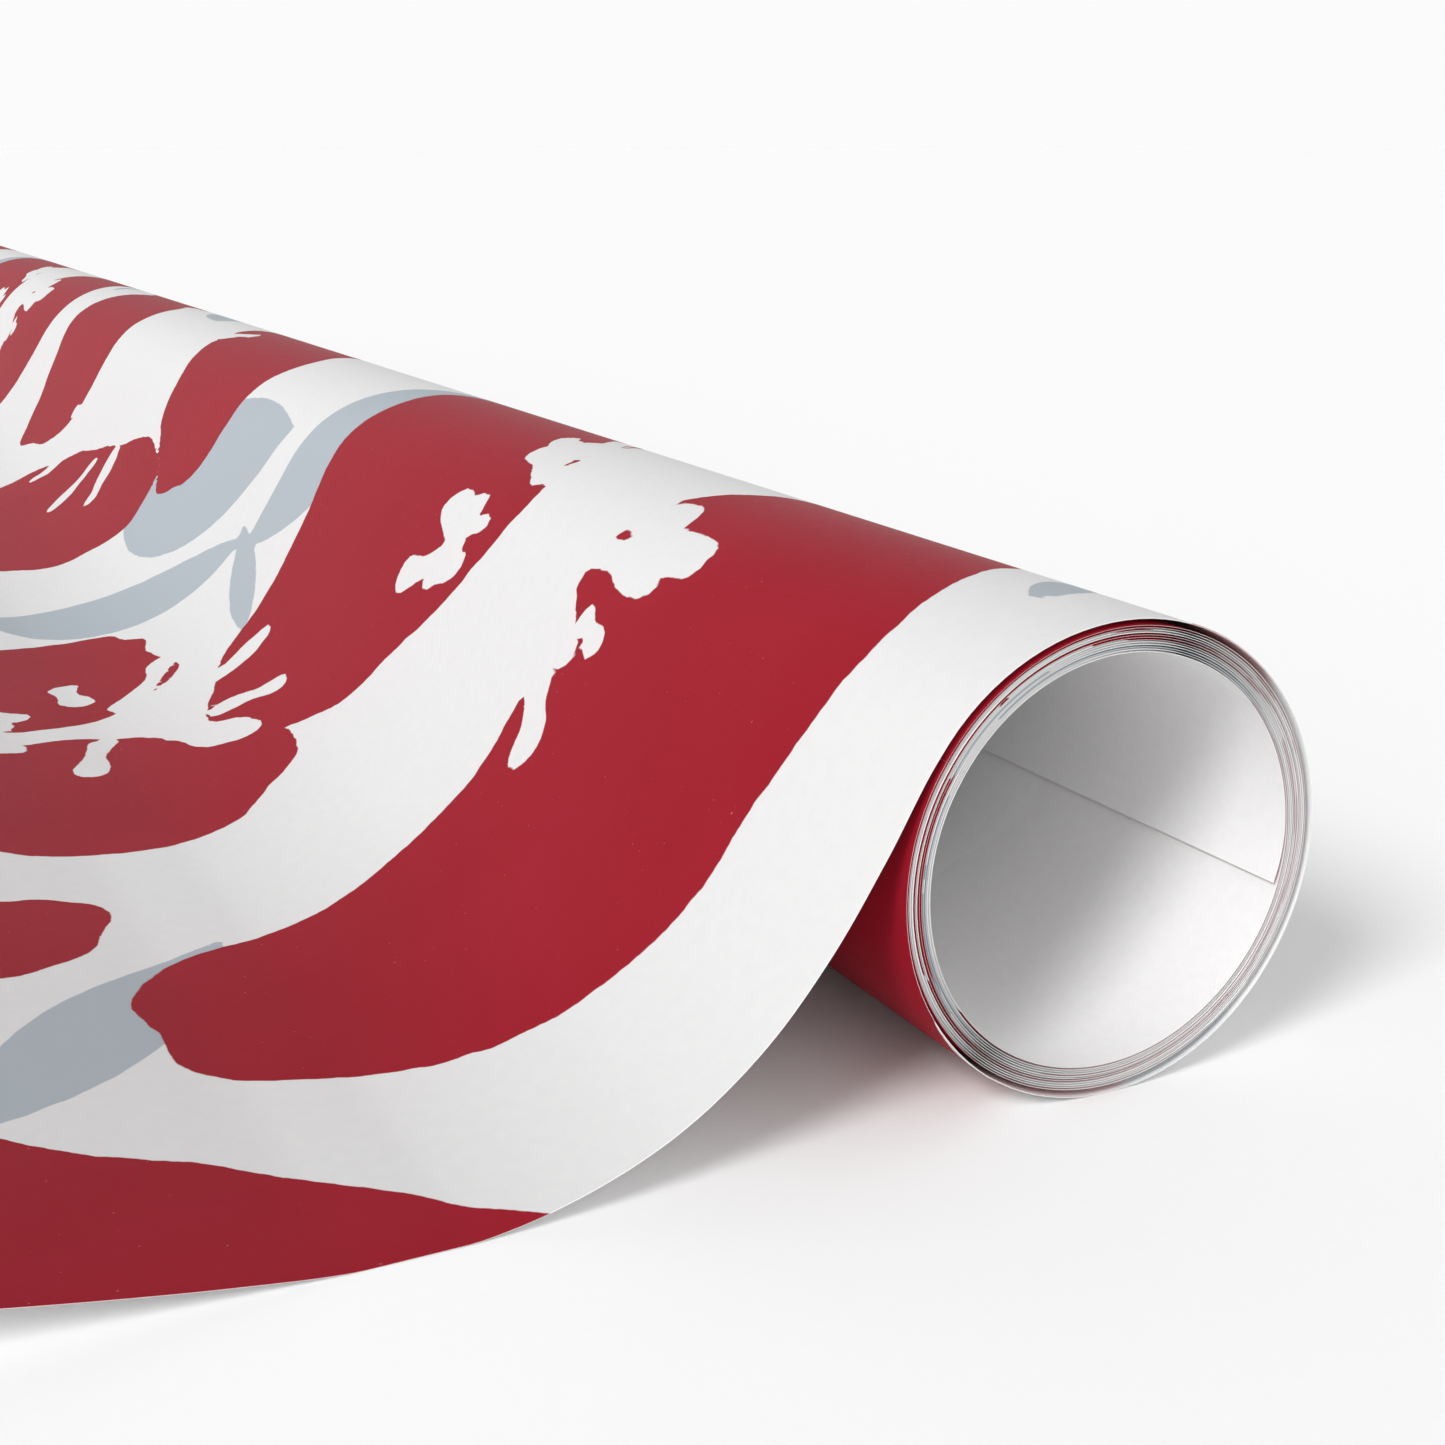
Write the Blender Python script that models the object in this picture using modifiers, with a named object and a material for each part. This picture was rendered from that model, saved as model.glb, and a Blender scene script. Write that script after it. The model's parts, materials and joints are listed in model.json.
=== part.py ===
"""A coreless roll of gift wrap lying on its side with its outer end drawn off as a free leaf.

The roll is one long web of paper. It is wound round nothing, leaves the roll high on one side,
comes down to the table and rises again a little towards its free end. The web is made here as the
turns that can slip inside each other, the outer one in arcs, and as the strips between the lines
where the leaf bends.

Lengths are in metres. X runs along the roll, the leaf leaves towards -Y, and the table is Z = 0.
Angles round the roll are in degrees from straight up, growing towards +Y.
"""

import math

import bmesh
import bpy
from mathutils import Vector

# The web
ROLL_WIDTH = 0.762
PAPER_THICKNESS = 0.0001

# The wound roll. Radii are those of the middle of the paper.
BORE_RADIUS = 0.01934
BORE_RISE = 0.0002  # the turns are pressed together at the top, where the roll hangs on them
WINDING_PITCH = 0.000214
FULL_TURNS = 12
FACETS_PER_TURN = 48
OUTER_TURN_PARTS = 8  # the outer turn is made of this many arcs, which collide as one hull each
INNER_END_ANGLE = 104.6
# How far the outer turn stands off the turn under it, by the angle wound back from the leaf
OUTER_SLACK = ((0, 0.00059), (56, 0.00041), (206, 0.00073), (330, 0.0))

# The leaf: its slope starts steep and eases to a slight rise, as 1 - exp(-(s / length) ** power)
LEAF_STEEPNESS = 59.3
LEAF_RISE = 10.7
LEAF_EASE_LENGTH = 0.0469
LEAF_EASE_POWER = 2.487
STRIPS = 12
STRIPS_TO_TABLE = 6.5  # the strip in the middle of which the leaf lies on the table

# Between pieces of the same web, and between the rolled-up leaf and the roll
CUT_GAP = 0.0003
ROLLED_CLEARANCE = 0.00025

FACET = 360 / FACETS_PER_TURN
# The leaf leaves where a corner falls, with a facet of the roll level on the table
LEAF_ANGLE = 180 - FACET * (math.floor((180 + 56) / FACET) + 0.5)
INNER_END_WOUND = 360 * FULL_TURNS + INNER_END_ANGLE - LEAF_ANGLE


def eased(points, at):
    """The value at a place between points, with a level tangent at each point."""
    for (a, low), (b, high) in zip(points, points[1:]):
        if at <= b:
            return low + (high - low) * (1 - math.cos(math.pi * (at - a) / (b - a))) / 2
    return points[-1][1]


def roll_radius(wound):
    """The radius of the web, by the angle wound back from where the leaf leaves."""
    turns = (INNER_END_WOUND - wound) / 360
    rise = BORE_RISE * math.cos(math.radians(LEAF_ANGLE + wound))
    return BORE_RADIUS + rise + WINDING_PITCH * turns + eased(OUTER_SLACK, wound)


def round_axis(radius, angle):
    """A point (y, z) round the roll's axis."""
    return Vector((radius * math.sin(math.radians(angle)), radius * math.cos(math.radians(angle))))


def roll_point(wound):
    return round_axis(roll_radius(wound), LEAF_ANGLE + wound)


# The two corners of the lowest facet; the roll's weight flattens it, so both are level.
BOTTOM = FACET * (math.floor((180 - LEAF_ANGLE) / FACET) + 0.5)
TABLE = max(roll_point(BOTTOM - FACET / 2).y, roll_point(BOTTOM + FACET / 2).y)


def wound_path(start, end):
    """Points (y, z) of the web from one wound angle out to a smaller one."""
    first = math.floor(start / FACET) * FACET
    angles = [start] if start > first else []
    while first >= end:
        angles.append(first)
        first -= FACET
    points = [roll_point(a) for a in angles]
    return [Vector((p.x, max(p.y, TABLE))) for p in points]


def trimmed(points, amount):
    """The path with both ends drawn back along it."""
    first = points[0] + (points[1] - points[0]).normalized() * amount
    last = points[-1] + (points[-2] - points[-1]).normalized() * amount
    return [first, *points[1:-1], last]


def leaf_slope(s, straight):
    """The leaf's slope in degrees, positive where it rises, at a length along it."""
    x = max(0.0, s - straight) / LEAF_EASE_LENGTH
    return -LEAF_STEEPNESS + (LEAF_STEEPNESS + LEAF_RISE) * (1 - math.exp(-(x**LEAF_EASE_POWER)))


def leaf_line(straight, length, step=0.00005):
    """The leaf's points (y, z), a step apart."""
    line = [roll_point(0)]
    for i in range(math.ceil(length / step)):
        slope = math.radians(leaf_slope((i + 0.5) * step, straight))
        line.append(line[-1] + step * Vector((-math.cos(slope), math.sin(slope))))
    return line


def leaf_straight():
    """The straight length before the leaf starts to bend, for which it just reaches the table."""
    low, high = -LEAF_EASE_LENGTH, 3 * LEAF_EASE_LENGTH
    for _ in range(24):
        middle = (low + high) / 2
        lowest = min(p.y for p in leaf_line(middle, 5 * LEAF_EASE_LENGTH, 0.0005))
        low, high = (middle, high) if lowest > TABLE else (low, middle)
    return (low + high) / 2


def leaf_corners():
    """The lines (y, z) on which the leaf bends, from the roll to the free end."""
    step = 0.00005
    line = leaf_line(leaf_straight(), 8 * LEAF_EASE_LENGTH, step)
    landing = min(range(len(line)), key=lambda i: line[i].y)
    strip = landing / STRIPS_TO_TABLE
    corners = [line[round(strip * i)] for i in range(STRIPS + 1)]
    flat = math.floor(STRIPS_TO_TABLE)
    for i in (flat, flat + 1):
        corners[i] = Vector((corners[i].x, TABLE))
    return corners


def rolled_up_corners(corners):
    """Where those lines lie when the leaf is rolled up round the roll."""
    rolled = [corners[0]]
    wound = 0.0
    for a, b in zip(corners, corners[1:]):
        length = (b - a).length
        here = rolled[-1].length
        turn = 0.0
        for _ in range(8):
            under = roll_radius(360 + wound - turn)
            if wound - turn < -FACET:
                under = max(under, roll_radius(360 + wound - turn + 2 * FACET))
            there = under + ROLLED_CLEARANCE + length**2 / (8 * BORE_RADIUS)
            turn = math.degrees(math.acos((here**2 + there**2 - length**2) / (2 * here * there)))
        wound -= turn
        rolled.append(round_axis(there, LEAF_ANGLE + wound))
    return rolled


def directions(corners):
    return [math.degrees(math.atan2(b.y - a.y, b.x - a.x)) for a, b in zip(corners, corners[1:])]


def bend_limits(corners):
    """How far each strip turns on the one before it, about +X, until the leaf is rolled up."""
    last = roll_point(0) - roll_point(FACET)
    start = math.degrees(math.atan2(last.y, last.x))
    limits = []
    open_ways, rolled_ways = directions(corners), directions(rolled_up_corners(corners))
    for i in range(STRIPS):
        before = (open_ways[i - 1], rolled_ways[i - 1]) if i else (start, start)
        turn = (rolled_ways[i] - before[1]) - (open_ways[i] - before[0])
        limits.append((turn + 180) % 360 - 180)
    return limits


def paper_material(name, colour, roughness):
    material = bpy.data.materials.new(name)
    material.use_nodes = True
    shader = material.node_tree.nodes["Principled BSDF"]
    shader.inputs["Base Color"].default_value = (*colour, 1.0)
    shader.inputs["Roughness"].default_value = roughness
    shader.inputs["Metallic"].default_value = 0.0
    return material


def web_piece(name, points, origin, colour, collection, parent=None):
    """A stretch of the web through points (y, z), with its object's origin at (y, z) too."""
    mesh = bpy.data.meshes.new(name)
    bm = bmesh.new()
    row = [bm.verts.new((-ROLL_WIDTH / 2, p.x - origin.x, p.y - origin.y)) for p in points]
    edges = [bm.edges.new(pair) for pair in zip(row, row[1:])]
    swept = bmesh.ops.extrude_edge_only(bm, edges=edges)["geom"]
    corners = [v for v in swept if isinstance(v, bmesh.types.BMVert)]
    bmesh.ops.translate(bm, verts=corners, vec=(ROLL_WIDTH, 0, 0))
    bm.to_mesh(mesh)
    bm.free()
    piece = bpy.data.objects.new(name, mesh)
    collection.objects.link(piece)
    piece.parent = parent
    above = parent["origin_yz"] if parent else (0.0, 0.0)
    piece.location = (0, origin.x - above[0], origin.y - above[1])
    piece["origin_yz"] = (origin.x, origin.y)
    wall = piece.modifiers.new("Paper", "SOLIDIFY")
    wall.thickness = PAPER_THICKNESS
    wall.offset = 0
    wall.use_even_offset = True
    mesh.materials.append(paper_material(name, colour, 0.6))
    return piece


def build():
    for old in list(bpy.data.objects):
        bpy.data.objects.remove(old, do_unlink=True)
    collection = bpy.data.collections.new("gift_wrap_roll")
    bpy.context.scene.collection.children.link(collection)

    corners = leaf_corners()
    right = max(roll_point(FACET * i).x for i in range(FACETS_PER_TURN)) + PAPER_THICKNESS / 2
    free_end = trimmed(corners[-2:], CUT_GAP / 2)[-1]
    left = free_end.x - PAPER_THICKNESS / 2 * abs(corners[-1].y - corners[-2].y) / (
        corners[-1] - corners[-2]
    ).length
    table = TABLE - PAPER_THICKNESS / 2
    to_row = Vector((-(left + right) / 2, -table))
    axis = to_row.copy()

    def shifted(points):
        return [p + to_row for p in points]

    roll = bpy.data.objects.new("roll_axis", None)
    collection.objects.link(roll)
    roll.location = (0, axis.x, axis.y)
    roll["origin_yz"] = (axis.x, axis.y)

    white, red = (0.86, 0.86, 0.85), (0.36, 0.02, 0.03)

    def wound_piece(name, start, end, colour, parent):
        path = shifted(trimmed(wound_path(start, end), CUT_GAP / 2))
        return web_piece(name, path, axis, colour, collection, parent)

    arc = 360 / OUTER_TURN_PARTS
    for number in range(OUTER_TURN_PARTS):
        end = arc * number
        wound_piece(f"outer_turn_{number + 1:02d}", end + arc, end, red, roll)
    parent = roll
    for number in range(FULL_TURNS - 1, 0, -1):
        end = 360 * (FULL_TURNS - number)
        parent = wound_piece(f"turn_{number:02d}", end + 360, end, white, parent)
    wound_piece("inner_end_turn", INNER_END_WOUND, 360 * FULL_TURNS, white, parent)

    parent = roll
    for number, ends in enumerate(zip(corners, corners[1:]), 1):
        path = shifted(trimmed(list(ends), CUT_GAP / 2))
        hinge = ends[0] + to_row
        parent = web_piece(f"leaf_strip_{number:02d}", path, hinge, red, collection, parent)

    print("roll axis (y, z):", tuple(round(v, 6) for v in axis))
    for number, (corner, turn) in enumerate(zip(shifted(corners), bend_limits(corners)), 1):
        print(f"leaf_bend_{number:02d} at", [round(v, 6) for v in corner], round(turn, 3))


build()
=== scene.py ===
# %% [markdown]
# # A roll of gift wrap
# This lesson dresses a imported model of a coreless roll of wrapping paper. The imported model is the
# frame: it says how large the roll is, where each turn lies and where the free leaf bends. Here we
# make the paper itself, its print and the light, and hang the paper of each wound turn on the moving
# body that carries it.

# %% Load the frame
import json
import math

import bpy
import numpy as np
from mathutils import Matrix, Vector


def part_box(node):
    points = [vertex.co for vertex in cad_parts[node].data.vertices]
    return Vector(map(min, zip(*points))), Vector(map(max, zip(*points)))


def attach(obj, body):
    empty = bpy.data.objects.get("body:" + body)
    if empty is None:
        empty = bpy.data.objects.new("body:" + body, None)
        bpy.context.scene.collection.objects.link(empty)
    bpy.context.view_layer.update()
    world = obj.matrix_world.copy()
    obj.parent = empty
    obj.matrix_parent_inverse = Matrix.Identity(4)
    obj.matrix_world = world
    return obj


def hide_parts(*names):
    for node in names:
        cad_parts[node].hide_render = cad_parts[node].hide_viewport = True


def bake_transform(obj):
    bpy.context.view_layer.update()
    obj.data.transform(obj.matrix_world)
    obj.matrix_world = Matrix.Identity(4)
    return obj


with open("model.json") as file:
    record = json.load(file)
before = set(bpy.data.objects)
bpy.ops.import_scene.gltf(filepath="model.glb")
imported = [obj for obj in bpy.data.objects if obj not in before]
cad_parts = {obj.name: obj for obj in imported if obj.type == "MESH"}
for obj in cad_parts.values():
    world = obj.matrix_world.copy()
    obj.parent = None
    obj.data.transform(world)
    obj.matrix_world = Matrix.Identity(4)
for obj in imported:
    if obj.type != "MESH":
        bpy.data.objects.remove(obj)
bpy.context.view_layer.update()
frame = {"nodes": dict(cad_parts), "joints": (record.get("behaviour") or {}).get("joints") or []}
for cad_object in bpy.context.selected_objects:
    cad_object.select_set(False)

# %% [markdown]
# ## Camera
# The camera stands close to the open end of the roll, a little above it, and looks along it, so
# the far end shrinks away to the upper left. Its place is given from the middle of the open end, in
# lengths of about the roll's radius, so that it stays right if the frame moves.

# %% Camera
ROLL_RADIUS = 0.023
near_low, near_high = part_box("turn_06")
end_middle = Vector((near_high.x, (near_low.y + near_high.y) / 2, (near_low.z + near_high.z) / 2))
CAMERA_FROM_END = Vector((6.1394, -4.7424, 2.715))
CAMERA_YAW, CAMERA_PITCH = math.radians(26.295), math.radians(15.764)

camera_data = bpy.data.cameras.new("camera")
camera_data.sensor_width = 36
camera_data.lens = 51.655
camera_data.clip_start = 0.01
camera = bpy.data.objects.new("camera", camera_data)
bpy.context.scene.collection.objects.link(camera)
camera.location = end_middle + CAMERA_FROM_END * ROLL_RADIUS
looking = Vector(
    (
        -math.cos(CAMERA_YAW) * math.cos(CAMERA_PITCH),
        math.sin(CAMERA_YAW) * math.cos(CAMERA_PITCH),
        -math.sin(CAMERA_PITCH),
    )
)
camera.rotation_mode = "QUATERNION"
camera.rotation_quaternion = looking.to_track_quat("-Z", "Y")
bpy.context.scene.camera = camera
print("camera at", [round(c, 4) for c in camera.location])

# %% [markdown]
# ## The line that the paper follows
# Seen from its end, the whole web is one line: a spiral, then the leaf. We read it back from the
# frame instead of drawing it again. Each turn's solid gives its radius by angle, halfway between
# its two faces, and the leaf's hinges give the points that the leaf passes through.

# %% Read the spiral
TURNS = 12
hinges = {j["name"]: j["pos_m"] for j in frame["joints"] if j["type"] == "hinge"}
hinge_points = [np.array(hinges[name][1:], float) for name in sorted(hinges)]
axis = np.array([end_middle.y, end_middle.z])


def section(node):
    """The corners (y, z) of a node's solid on its near end."""
    mesh = frame["nodes"][node].data
    points = np.array([v.co for v in mesh.vertices], float)
    near = points[points[:, 0] > points[:, 0].max() - 1e-4][:, 1:]
    return np.unique(near.round(7), axis=0)


def angle_of(point):
    """Degrees from straight up, growing towards +Y."""
    return math.degrees(math.atan2(point[0] - axis[0], point[1] - axis[1]))


leaf_angle = angle_of(hinge_points[0])


def radii(nodes, turn):
    """Wound angle back from the leaf and radius, on the middle of the paper."""
    points = np.concatenate([section(n) for n in nodes])
    angle = np.degrees(np.arctan2(points[:, 0] - axis[0], points[:, 1] - axis[1]))
    wound = (angle - leaf_angle) % 360
    radius = np.hypot(*(points - axis).T)
    found = []
    for key in np.unique((wound * 2).round()):
        here = (wound * 2).round() == key
        found.append((360 * turn + wound[here].mean(), radius[here].mean()))
    return found


outer_arcs = sorted(n for n in frame["nodes"] if n.startswith("outer_turn_"))
spiral = radii(outer_arcs, 0)
for turn in range(1, TURNS):
    spiral += radii([f"turn_{TURNS - turn:02d}"], turn)
spiral += radii(["inner_end_turn"], TURNS)
spiral = np.array(sorted(spiral))
print(f"{len(spiral)} points on the spiral, wound {spiral[-1, 0]:.1f} degrees")

# %% [markdown]
# The leaf's points are a finger's width apart, so a smooth curve is passed through them, starting
# in the direction in which the paper leaves the roll. Its middle is eased up by a little more than
# the thickness of the paper, so that it clears the roll when it is rolled up. Lengths along the web
# are counted from the line where it leaves: positive on the leaf, negative back into the roll. Laid
# flat, every point of the paper is then a pair of lengths, and that pair places the print.

# %% Join the spiral and the leaf into one line
PAPER = 0.0001


def smooth_through(points, steps):
    """A curve through points, with steps between each two."""
    points = np.array(points, float)
    gaps = np.linalg.norm(np.diff(points, axis=0), axis=1)[:, None]
    way = np.diff(points, axis=0) / gaps
    tangent = np.vstack([way[:1], way[:-1] * gaps[1:] + way[1:] * gaps[:-1], way[-1:]])
    tangent[1:-1] /= gaps[1:] + gaps[:-1]
    t = np.linspace(0, 1, steps, endpoint=False)[:, None]
    curve = []
    for i in range(len(gaps)):
        a, b, ma, mb = points[i], points[i + 1], tangent[i] * gaps[i], tangent[i + 1] * gaps[i]
        curve.append(
            a * (2 * t**3 - 3 * t**2 + 1)
            + ma * (t**3 - 2 * t**2 + t)
            + b * (3 * t**2 - 2 * t**3)
            + mb * (t**3 - t**2)
        )
    return np.vstack([*curve, points[-1:]])


def on_roll(wound):
    """Points (y, z) of the wound paper, by the angle wound back from the leaf."""
    radius = np.interp(wound, *spiral.T)
    angle = np.radians(leaf_angle + wound)
    return np.stack([axis[0] + radius * np.sin(angle), axis[1] + radius * np.cos(angle)], -1)


LEAD_IN = (16.0, 8.0)  # degrees back into the roll, which set the leaf's first direction
LEAF_EASED_UP = 0.00014
EASED_MIDDLE, EASED_SPAN = 0.375, 0.5  # as shares of the leaf's length
last_strip = section(f"leaf_strip_{len(hinge_points):02d}")
free_end = last_strip[np.argsort(last_strip[:, 0])[:2]].mean(0)
leaf_line = smooth_through([*on_roll(np.array(LEAD_IN)), *hinge_points, free_end], 40)
leaf_line = leaf_line[40 * len(LEAD_IN) :]
share = np.linspace(0, 1, len(leaf_line))
from_middle = np.clip((share - EASED_MIDDLE) / EASED_SPAN, -0.5, 0.5)
rise = LEAF_EASED_UP * (0.5 + 0.5 * np.cos(2 * math.pi * from_middle))
leaf_line[:, 1] = np.maximum(leaf_line[:, 1], PAPER / 2) + rise
wound_angles = np.arange(spiral[-1, 0], 0, -1.0)
wound_line = on_roll(wound_angles)
web_line = np.vstack([wound_line, leaf_line])
web_length = np.concatenate([[0], np.cumsum(np.linalg.norm(np.diff(web_line, axis=0), axis=1))])
web_length -= web_length[len(wound_line)]
way = np.gradient(web_line, axis=0)
web_outward = np.stack([way[:, 1], -way[:, 0]], -1) / np.linalg.norm(way, axis=1)[:, None]
print(f"web {web_length[-1] - web_length[0]:.3f} m long, leaf {web_length[-1]:.3f} m")


def length_at(point):
    """The length along the leaf of its nearest point."""
    far = np.linalg.norm(leaf_line - point, axis=1)
    return web_length[len(wound_line) + int(far.argmin())]


def length_at_wound(wound):
    """The length along the web at an angle wound back from the leaf."""
    return float(np.interp(-wound, -wound_angles, web_length[: len(wound_line)]))


# %% [markdown]
# ## The print
# The wrap is printed with large loose blooms: rounded red petals, brushed over with white strokes
# at their hearts, and plain grey leaves between them. One way to draw this would be a long chain of
# shader nodes. We work out how far each point of the flat sheet is inside a shape instead, store
# that distance on the mesh, and let the shader cut it at zero. The edge comes out crisp on a coarse
# mesh.

# %% Shapes on the flat sheet, in millimetres
def turned(u, v, centre, degrees):
    """Coordinates about a centre, with the first one along the shape."""
    c, s = math.cos(math.radians(degrees)), math.sin(math.radians(degrees))
    x, y = u - centre[0], v - centre[1]
    return x * c + y * s, y * c - x * s


def petal(u, v, centre, half_length, half_width, degrees, seed):
    """How far inside a rounded petal with an uneven edge each point is."""
    x, y = turned(u, v, centre, degrees)
    random = np.random.default_rng(seed)
    around = np.arctan2(y / half_width, x / half_length)
    edge = np.ones_like(x)
    for waves in (2, 3, 5, 8, 13):
        edge += random.uniform(0.1, 0.2) / waves * np.cos(waves * around + random.uniform(0, 6.3))
    reach = np.hypot(x / half_length, y / half_width) + 1e-9
    slope = np.hypot(x / half_length**2, y / half_width**2) / reach + 1e-9
    return (edge - reach) / slope


def leaf_shape(u, v, centre, half_length, half_width, degrees):
    """How far inside a pointed leaf each point is. One side is rounder than the other."""
    x, y = turned(u, v, centre, degrees)
    t = np.clip(x / half_length, -1.3, 1.3)
    bulge = half_width * (1 - t**2)
    side = np.where(y > 0, bulge - y, 0.7 * bulge + y)
    return side / np.hypot(1, 2 * half_width * t / half_length)


def strokes(u, v, centre, inner, outer, count, seed):
    """How far inside a burst of white brush strokes about a bloom's heart each point is."""
    random = np.random.default_rng(seed)
    found = np.full_like(u, -1e3)
    for degrees in np.linspace(0, 360, count, endpoint=False) + random.uniform(-14, 14, count):
        x, y = turned(u, v, centre, degrees)
        middle = random.uniform(inner, outer)
        half_length, half_width = random.uniform(2.5, 8), random.uniform(1.5, 3.2)
        bend = random.uniform(-0.02, 0.02)
        y = y - bend * (x - middle) ** 2
        along = np.abs(x - middle) - half_length
        width = half_width * (1 - 0.25 * np.cos((x - middle) / half_length * 3 + degrees))
        found = np.maximum(found, width - np.hypot(np.maximum(along, 0), y))
    return found


# %% [markdown]
# The design repeats, as printed paper does: one block of blooms, shifted along by part of its
# length in each next row. Each petal and leaf is listed: its middle, half its length and
# width, and how far it is turned.

# %% The repeat
REPEAT = (440.0, 150.0)
ROW_SHIFT = 26.0
ROW_MARGIN = 80
FAR_OUTSIDE = -60.0
PETALS = (
    ((50, 12), 57, 31, 84),
    ((147, 0), 42, 37, 95),
    ((134, 66), 28, 27, 80),
    ((196, 68), 31, 25, 110),
    ((2, 86), 42, 24, 52),
    ((276, -16), 31, 34, 20),
    ((326, 42), 52, 27, 12),
    ((402, -6), 34, 33, 100),
    ((80, 84), 15, 11, 150),
)
LEAVES = (
    ((189, -6), 29, 14, 62),
    ((248, 11), 40, 20, 20),
    ((192, 23), 19, 4, -22),
    ((229, 41), 33, 12, 45),
    ((52, 76), 27, 8, -36),
    ((14, -26), 8, 3, -60),
    ((356, -34), 24, 9, -30),
)
HEARTS = (
    ((96, -6), 13, 32, 30),
    ((336, -2), 24, 42, 11),
    ((166, 56), 16, 26, 9),
)


def print_distances(u, v):
    """For points of the flat sheet, in metres: how far inside the red and the grey ink they are."""
    u, v = u * 1000, v * 1000
    red, grey = np.full_like(u, FAR_OUTSIDE), np.full_like(u, FAR_OUTSIDE)
    first_row = math.floor((v.min() - ROW_MARGIN) / REPEAT[1])
    last_row = math.ceil((v.max() + ROW_MARGIN) / REPEAT[1])
    for row in range(first_row, last_row + 1):
        for block in range(-2, 3):
            x = u - block * REPEAT[0] - row * ROW_SHIFT
            y = v - row * REPEAT[1]
            for index, (centre, length, width, degrees) in enumerate(PETALS):
                red = np.maximum(red, petal(x, y, centre, length, width, degrees, index + 1))
            for centre, length, width, degrees in LEAVES:
                grey = np.maximum(grey, leaf_shape(x, y, centre, length, width, degrees))
            for index, (centre, inner, outer, count) in enumerate(HEARTS):
                red = np.minimum(red, -strokes(x, y, centre, inner, outer, count, index + 21))
    return red / 1000, grey / 1000


# %% [markdown]
# ## Shader helper
# Node graphs are easier to read as sums. This small class wraps a node's output so that Python's
# operators add Math nodes, and one method adds any other node from its settings and inputs.

# %% Shader helper
class Wire:
    """A node's output, on which arithmetic adds Math nodes."""

    def __init__(self, graph, output):
        self.graph, self.output = graph, output

    def math(self, operation, first, second, clamp=False):
        settings = {"operation": operation, "use_clamp": clamp}
        return self.graph.node("ShaderNodeMath", settings, {0: first, 1: second})

    def __add__(self, other):
        return self.math("ADD", self, other)

    def __sub__(self, other):
        return self.math("SUBTRACT", self, other)

    def __rsub__(self, other):
        return self.math("SUBTRACT", other, self)

    def __mul__(self, other):
        return self.math("MULTIPLY", self, other)

    def cut(self):
        """The value held between 0 and 1."""
        return self.math("ADD", self, 0.0, clamp=True)

    __radd__, __rmul__ = __add__, __mul__


class Graph:
    """A node tree that is built from values."""

    def __init__(self, tree):
        self.tree = tree

    def put(self, socket, value):
        """Link a wire to a socket, or set a plain value on it."""
        if isinstance(value, Wire):
            self.tree.links.new(value.output, socket)
        else:
            socket.default_value = value

    def node(self, kind, settings=None, inputs=None, output=0):
        """Add a node: its settings first, then its sockets' values or links."""
        node = self.tree.nodes.new(kind)
        for name, value in (settings or {}).items():
            setattr(node, name, value)
        for name, value in (inputs or {}).items():
            self.put(node.inputs[name], value)
        return Wire(self, node.outputs[output])

    def mixed(self, share, first, second):
        """Two colours mixed."""
        settings = {"data_type": "RGBA"}
        return self.node("ShaderNodeMix", settings, {0: share, 6: first, 7: second}, 2)


class Finish(Graph):
    """A material and its node tree."""

    def __init__(self, name):
        self.material = bpy.data.materials.new(name)
        self.material.use_nodes = True
        super().__init__(self.material.node_tree)
        self.shader = self.tree.nodes["Principled BSDF"]

    def surface(self, inputs):
        """Fill the sockets of the material's shader."""
        for name, value in inputs.items():
            self.put(self.shader.inputs[name], value)


# %% [markdown]
# ## Paper finishes
# Gift wrap is thin coated paper. Its face takes a faint shine, a little more where red ink lies on
# it, and its back and cut edge are bare white fibre. The cut edge is drawn greyer than the back, as
# painted shade for the ring of turn ends. Up close no paper is one colour: fibres make it cloudy, ink
# lies unevenly and leaves pinholes. All of it is worked out from the lengths on the flat sheet, so it
# stays put when the paper bends.

# %% Colours, in linear light
PAPER_WHITE = (0.66, 0.66, 0.66, 1)
INK_RED = (0.28, 0.006, 0.0165, 1)
INK_RED_THIN = (0.325, 0.012, 0.026, 1)
INK_GREY = (0.385, 0.43, 0.47, 1)
FIBRE_SHADE = (0.72, 0.72, 0.718, 1)
BACK_WHITE = (0.89, 0.89, 0.89, 1)
# The cut edge's two colours are greyer than the bare back: painted shade for the ring of turn ends.
EDGE_PALE_PAINTED_SHADE = (0.72, 0.72, 0.71, 1)
EDGE_GREY_PAINTED_SHADE = (0.58, 0.57, 0.57, 1)
INK_EDGE = 0.00016
FIBRE_HEIGHT = 0.00003


def sheet_noise(finish, size, detail=2.0, roughness=0.5):
    """Noise on the flat sheet, with blotches of a size in metres."""
    place = finish.node("ShaderNodeUVMap", {"uv_map": "sheet"})
    inputs = {"Vector": place, "Scale": 1 / size, "Detail": detail, "Roughness": roughness}
    return finish.node("ShaderNodeTexNoise", {}, inputs)


def ink_mask(finish, attribute, raggedness):
    """1 inside the ink and 0 outside, with a slightly ragged edge."""
    inside = finish.node("ShaderNodeAttribute", {"attribute_name": attribute}, output="Fac")
    ragged = (sheet_noise(finish, 0.004, 3.0) - 0.5) * raggedness
    return ((inside + ragged) * (1 / INK_EDGE) + 0.5).cut()


def fibre_bump(finish, strength):
    """The fine tooth of the fibres and the slow waves of the sheet."""
    height = sheet_noise(finish, 0.00035, 3.0, 0.6) + sheet_noise(finish, 0.03, 1.0) * 2.0
    inputs = {"Height": height, "Strength": strength, "Distance": FIBRE_HEIGHT}
    return finish.node("ShaderNodeBump", {}, inputs)


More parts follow.
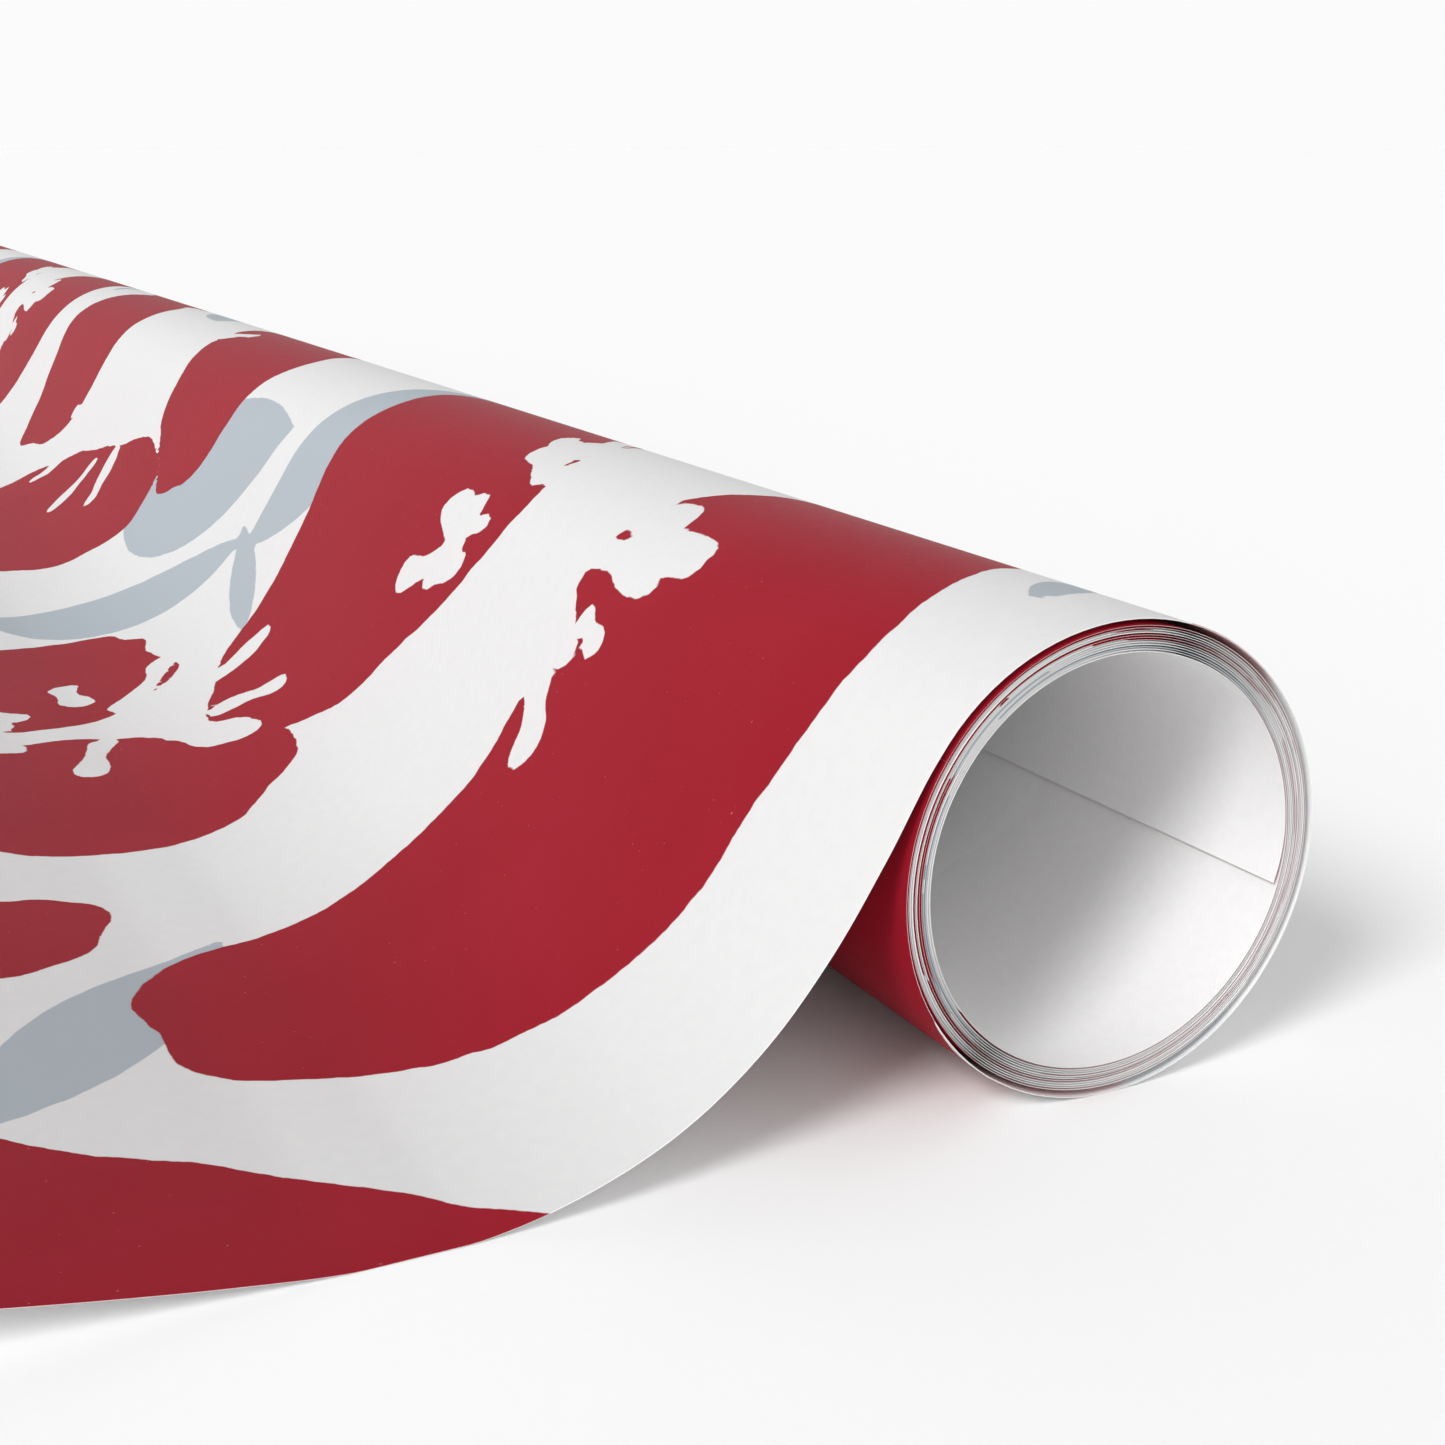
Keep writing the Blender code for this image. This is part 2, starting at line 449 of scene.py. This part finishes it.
# %% The printed face
printed = Finish("printed face")
clouds = sheet_noise(printed, 0.0018, 4.0, 0.65)
paper = printed.mixed(clouds, PAPER_WHITE, FIBRE_SHADE)
thin_ink = (sheet_noise(printed, 0.045, 3.0, 0.6) * 2.2 - 0.6).cut()
red_ink = printed.mixed(thin_ink * 0.55, INK_RED, INK_RED_THIN)
red_mask = ink_mask(printed, "ink_red", 0.0012)
grey_mask = ink_mask(printed, "ink_grey", 0.0006)
pinholes = ((sheet_noise(printed, 0.0005, 1.0) - 0.76) * 14.0).cut()
face = printed.mixed(grey_mask, paper, INK_GREY)
face = printed.mixed(red_mask * (1.0 - pinholes * 0.25), face, red_ink)
printed.surface(
    {
        "Base Color": face,
        "Roughness": 0.50 + clouds * 0.08 - red_mask * 0.06,
        "Normal": fibre_bump(printed, 0.35),
        "Specular IOR Level": 0.05,
    }
)
print("printed face:", len(printed.tree.nodes), "nodes")

# %% The bare back, through which a trace of the print shows, and the cut edge
bare = Finish("bare back")
fibres = sheet_noise(bare, 0.0012, 4.0, 0.7)
ghost = ink_mask(bare, "ink_red", 0.0012) * 0.035
back = bare.mixed(fibres * 0.5, BACK_WHITE, FIBRE_SHADE)
bare.surface(
    {
        "Base Color": bare.mixed(ghost, back, INK_RED),
        "Roughness": 0.72 + fibres * 0.12,
        "Normal": fibre_bump(bare, 0.5),
        "Specular IOR Level": 0.1,
    }
)
# The cut edge: noise varies its grey at random, and both its colours are darkened as painted shade.
edge = Finish("cut edge")
torn = sheet_noise(edge, 0.0006, 2.0)
edge.surface(
    {
        "Base Color": edge.mixed(torn, EDGE_PALE_PAINTED_SHADE, EDGE_GREY_PAINTED_SHADE),
        "Roughness": 0.8 + torn * 0.1,
        "Specular IOR Level": 0.1,
    }
)
print("back:", len(bare.tree.nodes), "nodes; edge:", len(edge.tree.nodes), "nodes")

# %% [markdown]
# ## Winding the sheet
# Each stretch of paper starts as what it is, a flat grid. Its corners get their lengths on the
# sheet as a UV map and the ink distances as attributes, then each corner is moved to where the
# wound line has that length, and Solidify gives the paper its thickness. Real turns never lie
# evenly, so the spiral breathes by a hundredth of a millimetre, the cut ends wander a little, and
# the innermost end springs a little off the turn that it lies on. The blade rounds the printed side
# of the cut over, so a line of ink shows beside the white edge.

# %% Wind one stretch
near_end, far_end = near_high.x, near_low.x
WIDTH = near_end - far_end
GAP_WANDER = 0.000012
END_WANDER = 0.00010
WANDER_TURN = 2 * math.pi * 0.021
WANDER_FADE = 0.03  # the free leaf lies evenly, so the wander fades out on the way to it
CUT_ROUNDING = 0.00007
CUT_THICKNESS = 0.5
END_LIFT, END_LIFT_LENGTH = 0.0003, 0.006
wander_random = np.random.default_rng(7)
WANDER_WAVES = [(n, wander_random.uniform(0, 6.3)) for n in (0.31, 0.73, 1.37, 2.9, 5.3)]


def wander(lengths, shift):
    """A slow wave between about -1 and 1 along the web."""
    turns = lengths / WANDER_TURN
    waves = [np.cos(2 * math.pi * n * turns + phase + shift) for n, phase in WANDER_WAVES]
    return sum(waves) / 2.6


def wind(name, start, end, rows, columns, crowding=1.0, thickness=PAPER):
    """The stretch of web between two lengths. Crowding above 1 gathers columns at the near end."""
    bpy.ops.mesh.primitive_grid_add(x_subdivisions=columns, y_subdivisions=rows, size=1)
    piece = bpy.context.active_object
    piece.name = piece.data.name = name
    mesh = piece.data
    flat = np.zeros(len(mesh.vertices) * 3)
    mesh.vertices.foreach_get("co", flat)
    flat = flat.reshape(-1, 3) + 0.5
    across = flat[:, 0] ** crowding * WIDTH
    across[np.isclose(flat[:, 0], 1 / columns, atol=1e-4)] = CUT_ROUNDING
    across[np.isclose(flat[:, 0], 1 - 1 / columns, atol=1e-4)] = WIDTH - CUT_ROUNDING
    along = start + flat[:, 1] * (end - start)

    red, grey = print_distances(across, along)
    for attribute, values in (("ink_red", red), ("ink_grey", grey)):
        stored = mesh.attributes.new(attribute, "FLOAT", "POINT")
        stored.data.foreach_set("value", values.astype(np.float32))
    corner = np.zeros(len(mesh.loops), np.int32)
    mesh.loops.foreach_get("vertex_index", corner)
    mesh.uv_layers[0].name = "sheet"
    sheet = np.stack([across, along], -1)[corner]
    mesh.uv_layers["sheet"].data.foreach_set("uv", sheet.astype(np.float32).ravel())

    wound_in = np.clip(-along / WANDER_FADE, 0, 1)
    line = np.stack([np.interp(along, web_length, side) for side in web_line.T], -1)
    outward = np.stack([np.interp(along, web_length, side) for side in web_outward.T], -1)
    line += outward * (GAP_WANDER * wander(along, 0.0) * wound_in)[:, None]
    near_inner_end = np.clip(1 - (along - web_length[0]) / END_LIFT_LENGTH, 0, 1)
    line -= outward * (END_LIFT * near_inner_end**2)[:, None]
    line[:, 1] = np.maximum(line[:, 1], PAPER / 2)
    cut = (flat[:, 0] < 1e-4) | (flat[:, 0] > 1 - 1e-4)
    line[cut] -= outward[cut] * thickness * (1 - CUT_THICKNESS) / 2
    uneven = END_WANDER * (0.5 + 0.5 * wander(along, 2.0)) * wound_in
    x = near_end - uneven - across * (1 - 2 * END_WANDER / WIDTH)
    place = np.column_stack([x, line])
    mesh.vertices.foreach_set("co", place.astype(np.float32).ravel())

    for finish in (printed, bare, edge):
        mesh.materials.append(finish.material)
    wall = piece.modifiers.new("paper", "SOLIDIFY")
    wall.thickness = thickness
    wall.offset = 0
    wall.use_even_offset = True
    uncut = piece.vertex_groups.new(name="uncut")
    uncut.add([int(i) for i in np.flatnonzero(~cut)], 1.0, "REPLACE")
    wall.vertex_group, wall.thickness_vertex_group = uncut.name, CUT_THICKNESS
    wall.material_offset, wall.material_offset_rim = 1, 2
    bpy.ops.object.modifier_apply(modifier=wall.name)
    bpy.ops.object.shade_smooth_by_angle(angle=math.radians(30))
    piece.select_set(False)
    return piece


# %% [markdown]
# ## The wound turns
# Every turn rides on its own body, because the turns of a roll without a core can slip along each
# other like the rings of a telescope. The outer turn carries a fine grid for its print. The turns
# inside show only their ends and the innermost its back, so theirs are coarser. Their paper is
# drawn thinner than the free leaf's, so that the gaps between them read as dark lines.

# %% The outer turn and the turns inside it
TURN_PAPER = 0.00005
SLIP_GAP = 0.00003
TURN_COLUMNS, TURN_CROWDING = 20, 2.0
outer_start = length_at_wound(360) + SLIP_GAP
outer = wind("outer_turn_paper", outer_start, 0.0, 96, 380)
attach(outer, "outer_turn")
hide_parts(*outer_arcs)
for turn in range(1, TURNS):
    body = f"turn_{TURNS - turn:02d}"
    ends = length_at_wound(360 * turn + 360) + SLIP_GAP, length_at_wound(360 * turn)
    piece = wind(f"{body}_paper", *ends, 144, TURN_COLUMNS, TURN_CROWDING, TURN_PAPER)
    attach(piece, body)
    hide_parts(body)
ends = web_length[0], length_at_wound(360 * TURNS)
inner = wind("inner_end_paper", *ends, 72, TURN_COLUMNS, TURN_CROWDING, TURN_PAPER)
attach(inner, "inner_end_turn")
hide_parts("inner_end_turn")
print("outer turn from", round(outer_start, 4), "m")

# %% [markdown]
# ## The free leaf
# The leaf bends on twelve lines, but paper never folds that sharply. Each piece of it runs from the
# middle of one strip to the middle of the next, and together they make one smooth curve as the leaf
# lies here.

# %% The leaf, piece by piece
LEAF_ROW, LEAF_COLUMNS = 0.0011, 480
strips = len(hinge_points)
middles = [(a + b) / 2 for a, b in zip(hinge_points, hinge_points[1:] + [free_end])]
cuts = [0.0] + [length_at(p) for p in middles[:-1]] + [web_length[-1]]
for number in range(1, strips + 1):
    body = f"leaf_strip_{number:02d}"
    span = cuts[number] - cuts[number - 1]
    rows = max(4, round(span / LEAF_ROW))
    piece = wind(f"leaf_{number:02d}_paper", cuts[number - 1], cuts[number], rows, LEAF_COLUMNS)
    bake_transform(piece)
    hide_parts(body)
print("leaf pieces", strips, "of about", round(web_length[-1] / strips, 4), "m")

# %% [markdown]
# ## Table and light
# The roll lies on a plain white table in a white studio. Its walls are much brighter than its
# ceiling, so that light also reaches into the roll and under the leaf. A soft key light from the
# leaf's side throws a shadow behind the roll, and a very wide fill, almost along the axis, opens up
# the bore.

# %% Table
bpy.ops.mesh.primitive_plane_add(size=30, location=(0, 0, -0.00004))
table = bpy.context.active_object
table.name = "table"
table_finish = Finish("table")
grain = table_finish.node("ShaderNodeTexCoord", output="Object")
speckle = table_finish.node("ShaderNodeTexNoise", {}, {"Vector": grain, "Scale": 900.0})
table_finish.surface(
    {
        "Base Color": table_finish.mixed(speckle, (0.98, 0.98, 0.98, 1), (0.96, 0.96, 0.96, 1)),
        "Roughness": 0.9,
        "Specular IOR Level": 0.05,
    }
)
table.data.materials.append(table_finish.material)

# %% Room
WALLS, CEILING = (0.965, 0.965, 0.965, 1), (0.36, 0.36, 0.36, 1)
WALL_TOP, CORNICE = 0.45, 0.25  # as heights on a unit sphere
world = bpy.data.worlds.new("studio")
world.use_nodes = True
room = Graph(world.node_tree)
towards = room.node("ShaderNodeTexCoord", output="Generated")
height = room.node("ShaderNodeSeparateXYZ", {}, {"Vector": towards}, "Z")
room_light = room.mixed(((height - WALL_TOP) * (1 / CORNICE)).cut(), WALLS, CEILING)
room.put(world.node_tree.nodes["Background"].inputs["Color"], room_light)
bpy.context.scene.world = world


# %% Key and fill
def soft_light(name, towards_light, spread, brightness):
    """A far light. Its spread in degrees is how wide it looks."""
    data = bpy.data.lights.new(name, "SUN")
    data.angle, data.energy = math.radians(spread), brightness * math.pi
    light = bpy.data.objects.new(name, data)
    bpy.context.scene.collection.objects.link(light)
    light.rotation_mode = "QUATERNION"
    light.rotation_quaternion = Vector(towards_light).to_track_quat("Z", "Y")


soft_light("key", (0.385, -0.70, 0.60), 20, 0.61)
soft_light("fill", (0.93, -0.12, 0.24), 50, 0.26)
bpy.context.scene.view_settings.view_transform = "Standard"
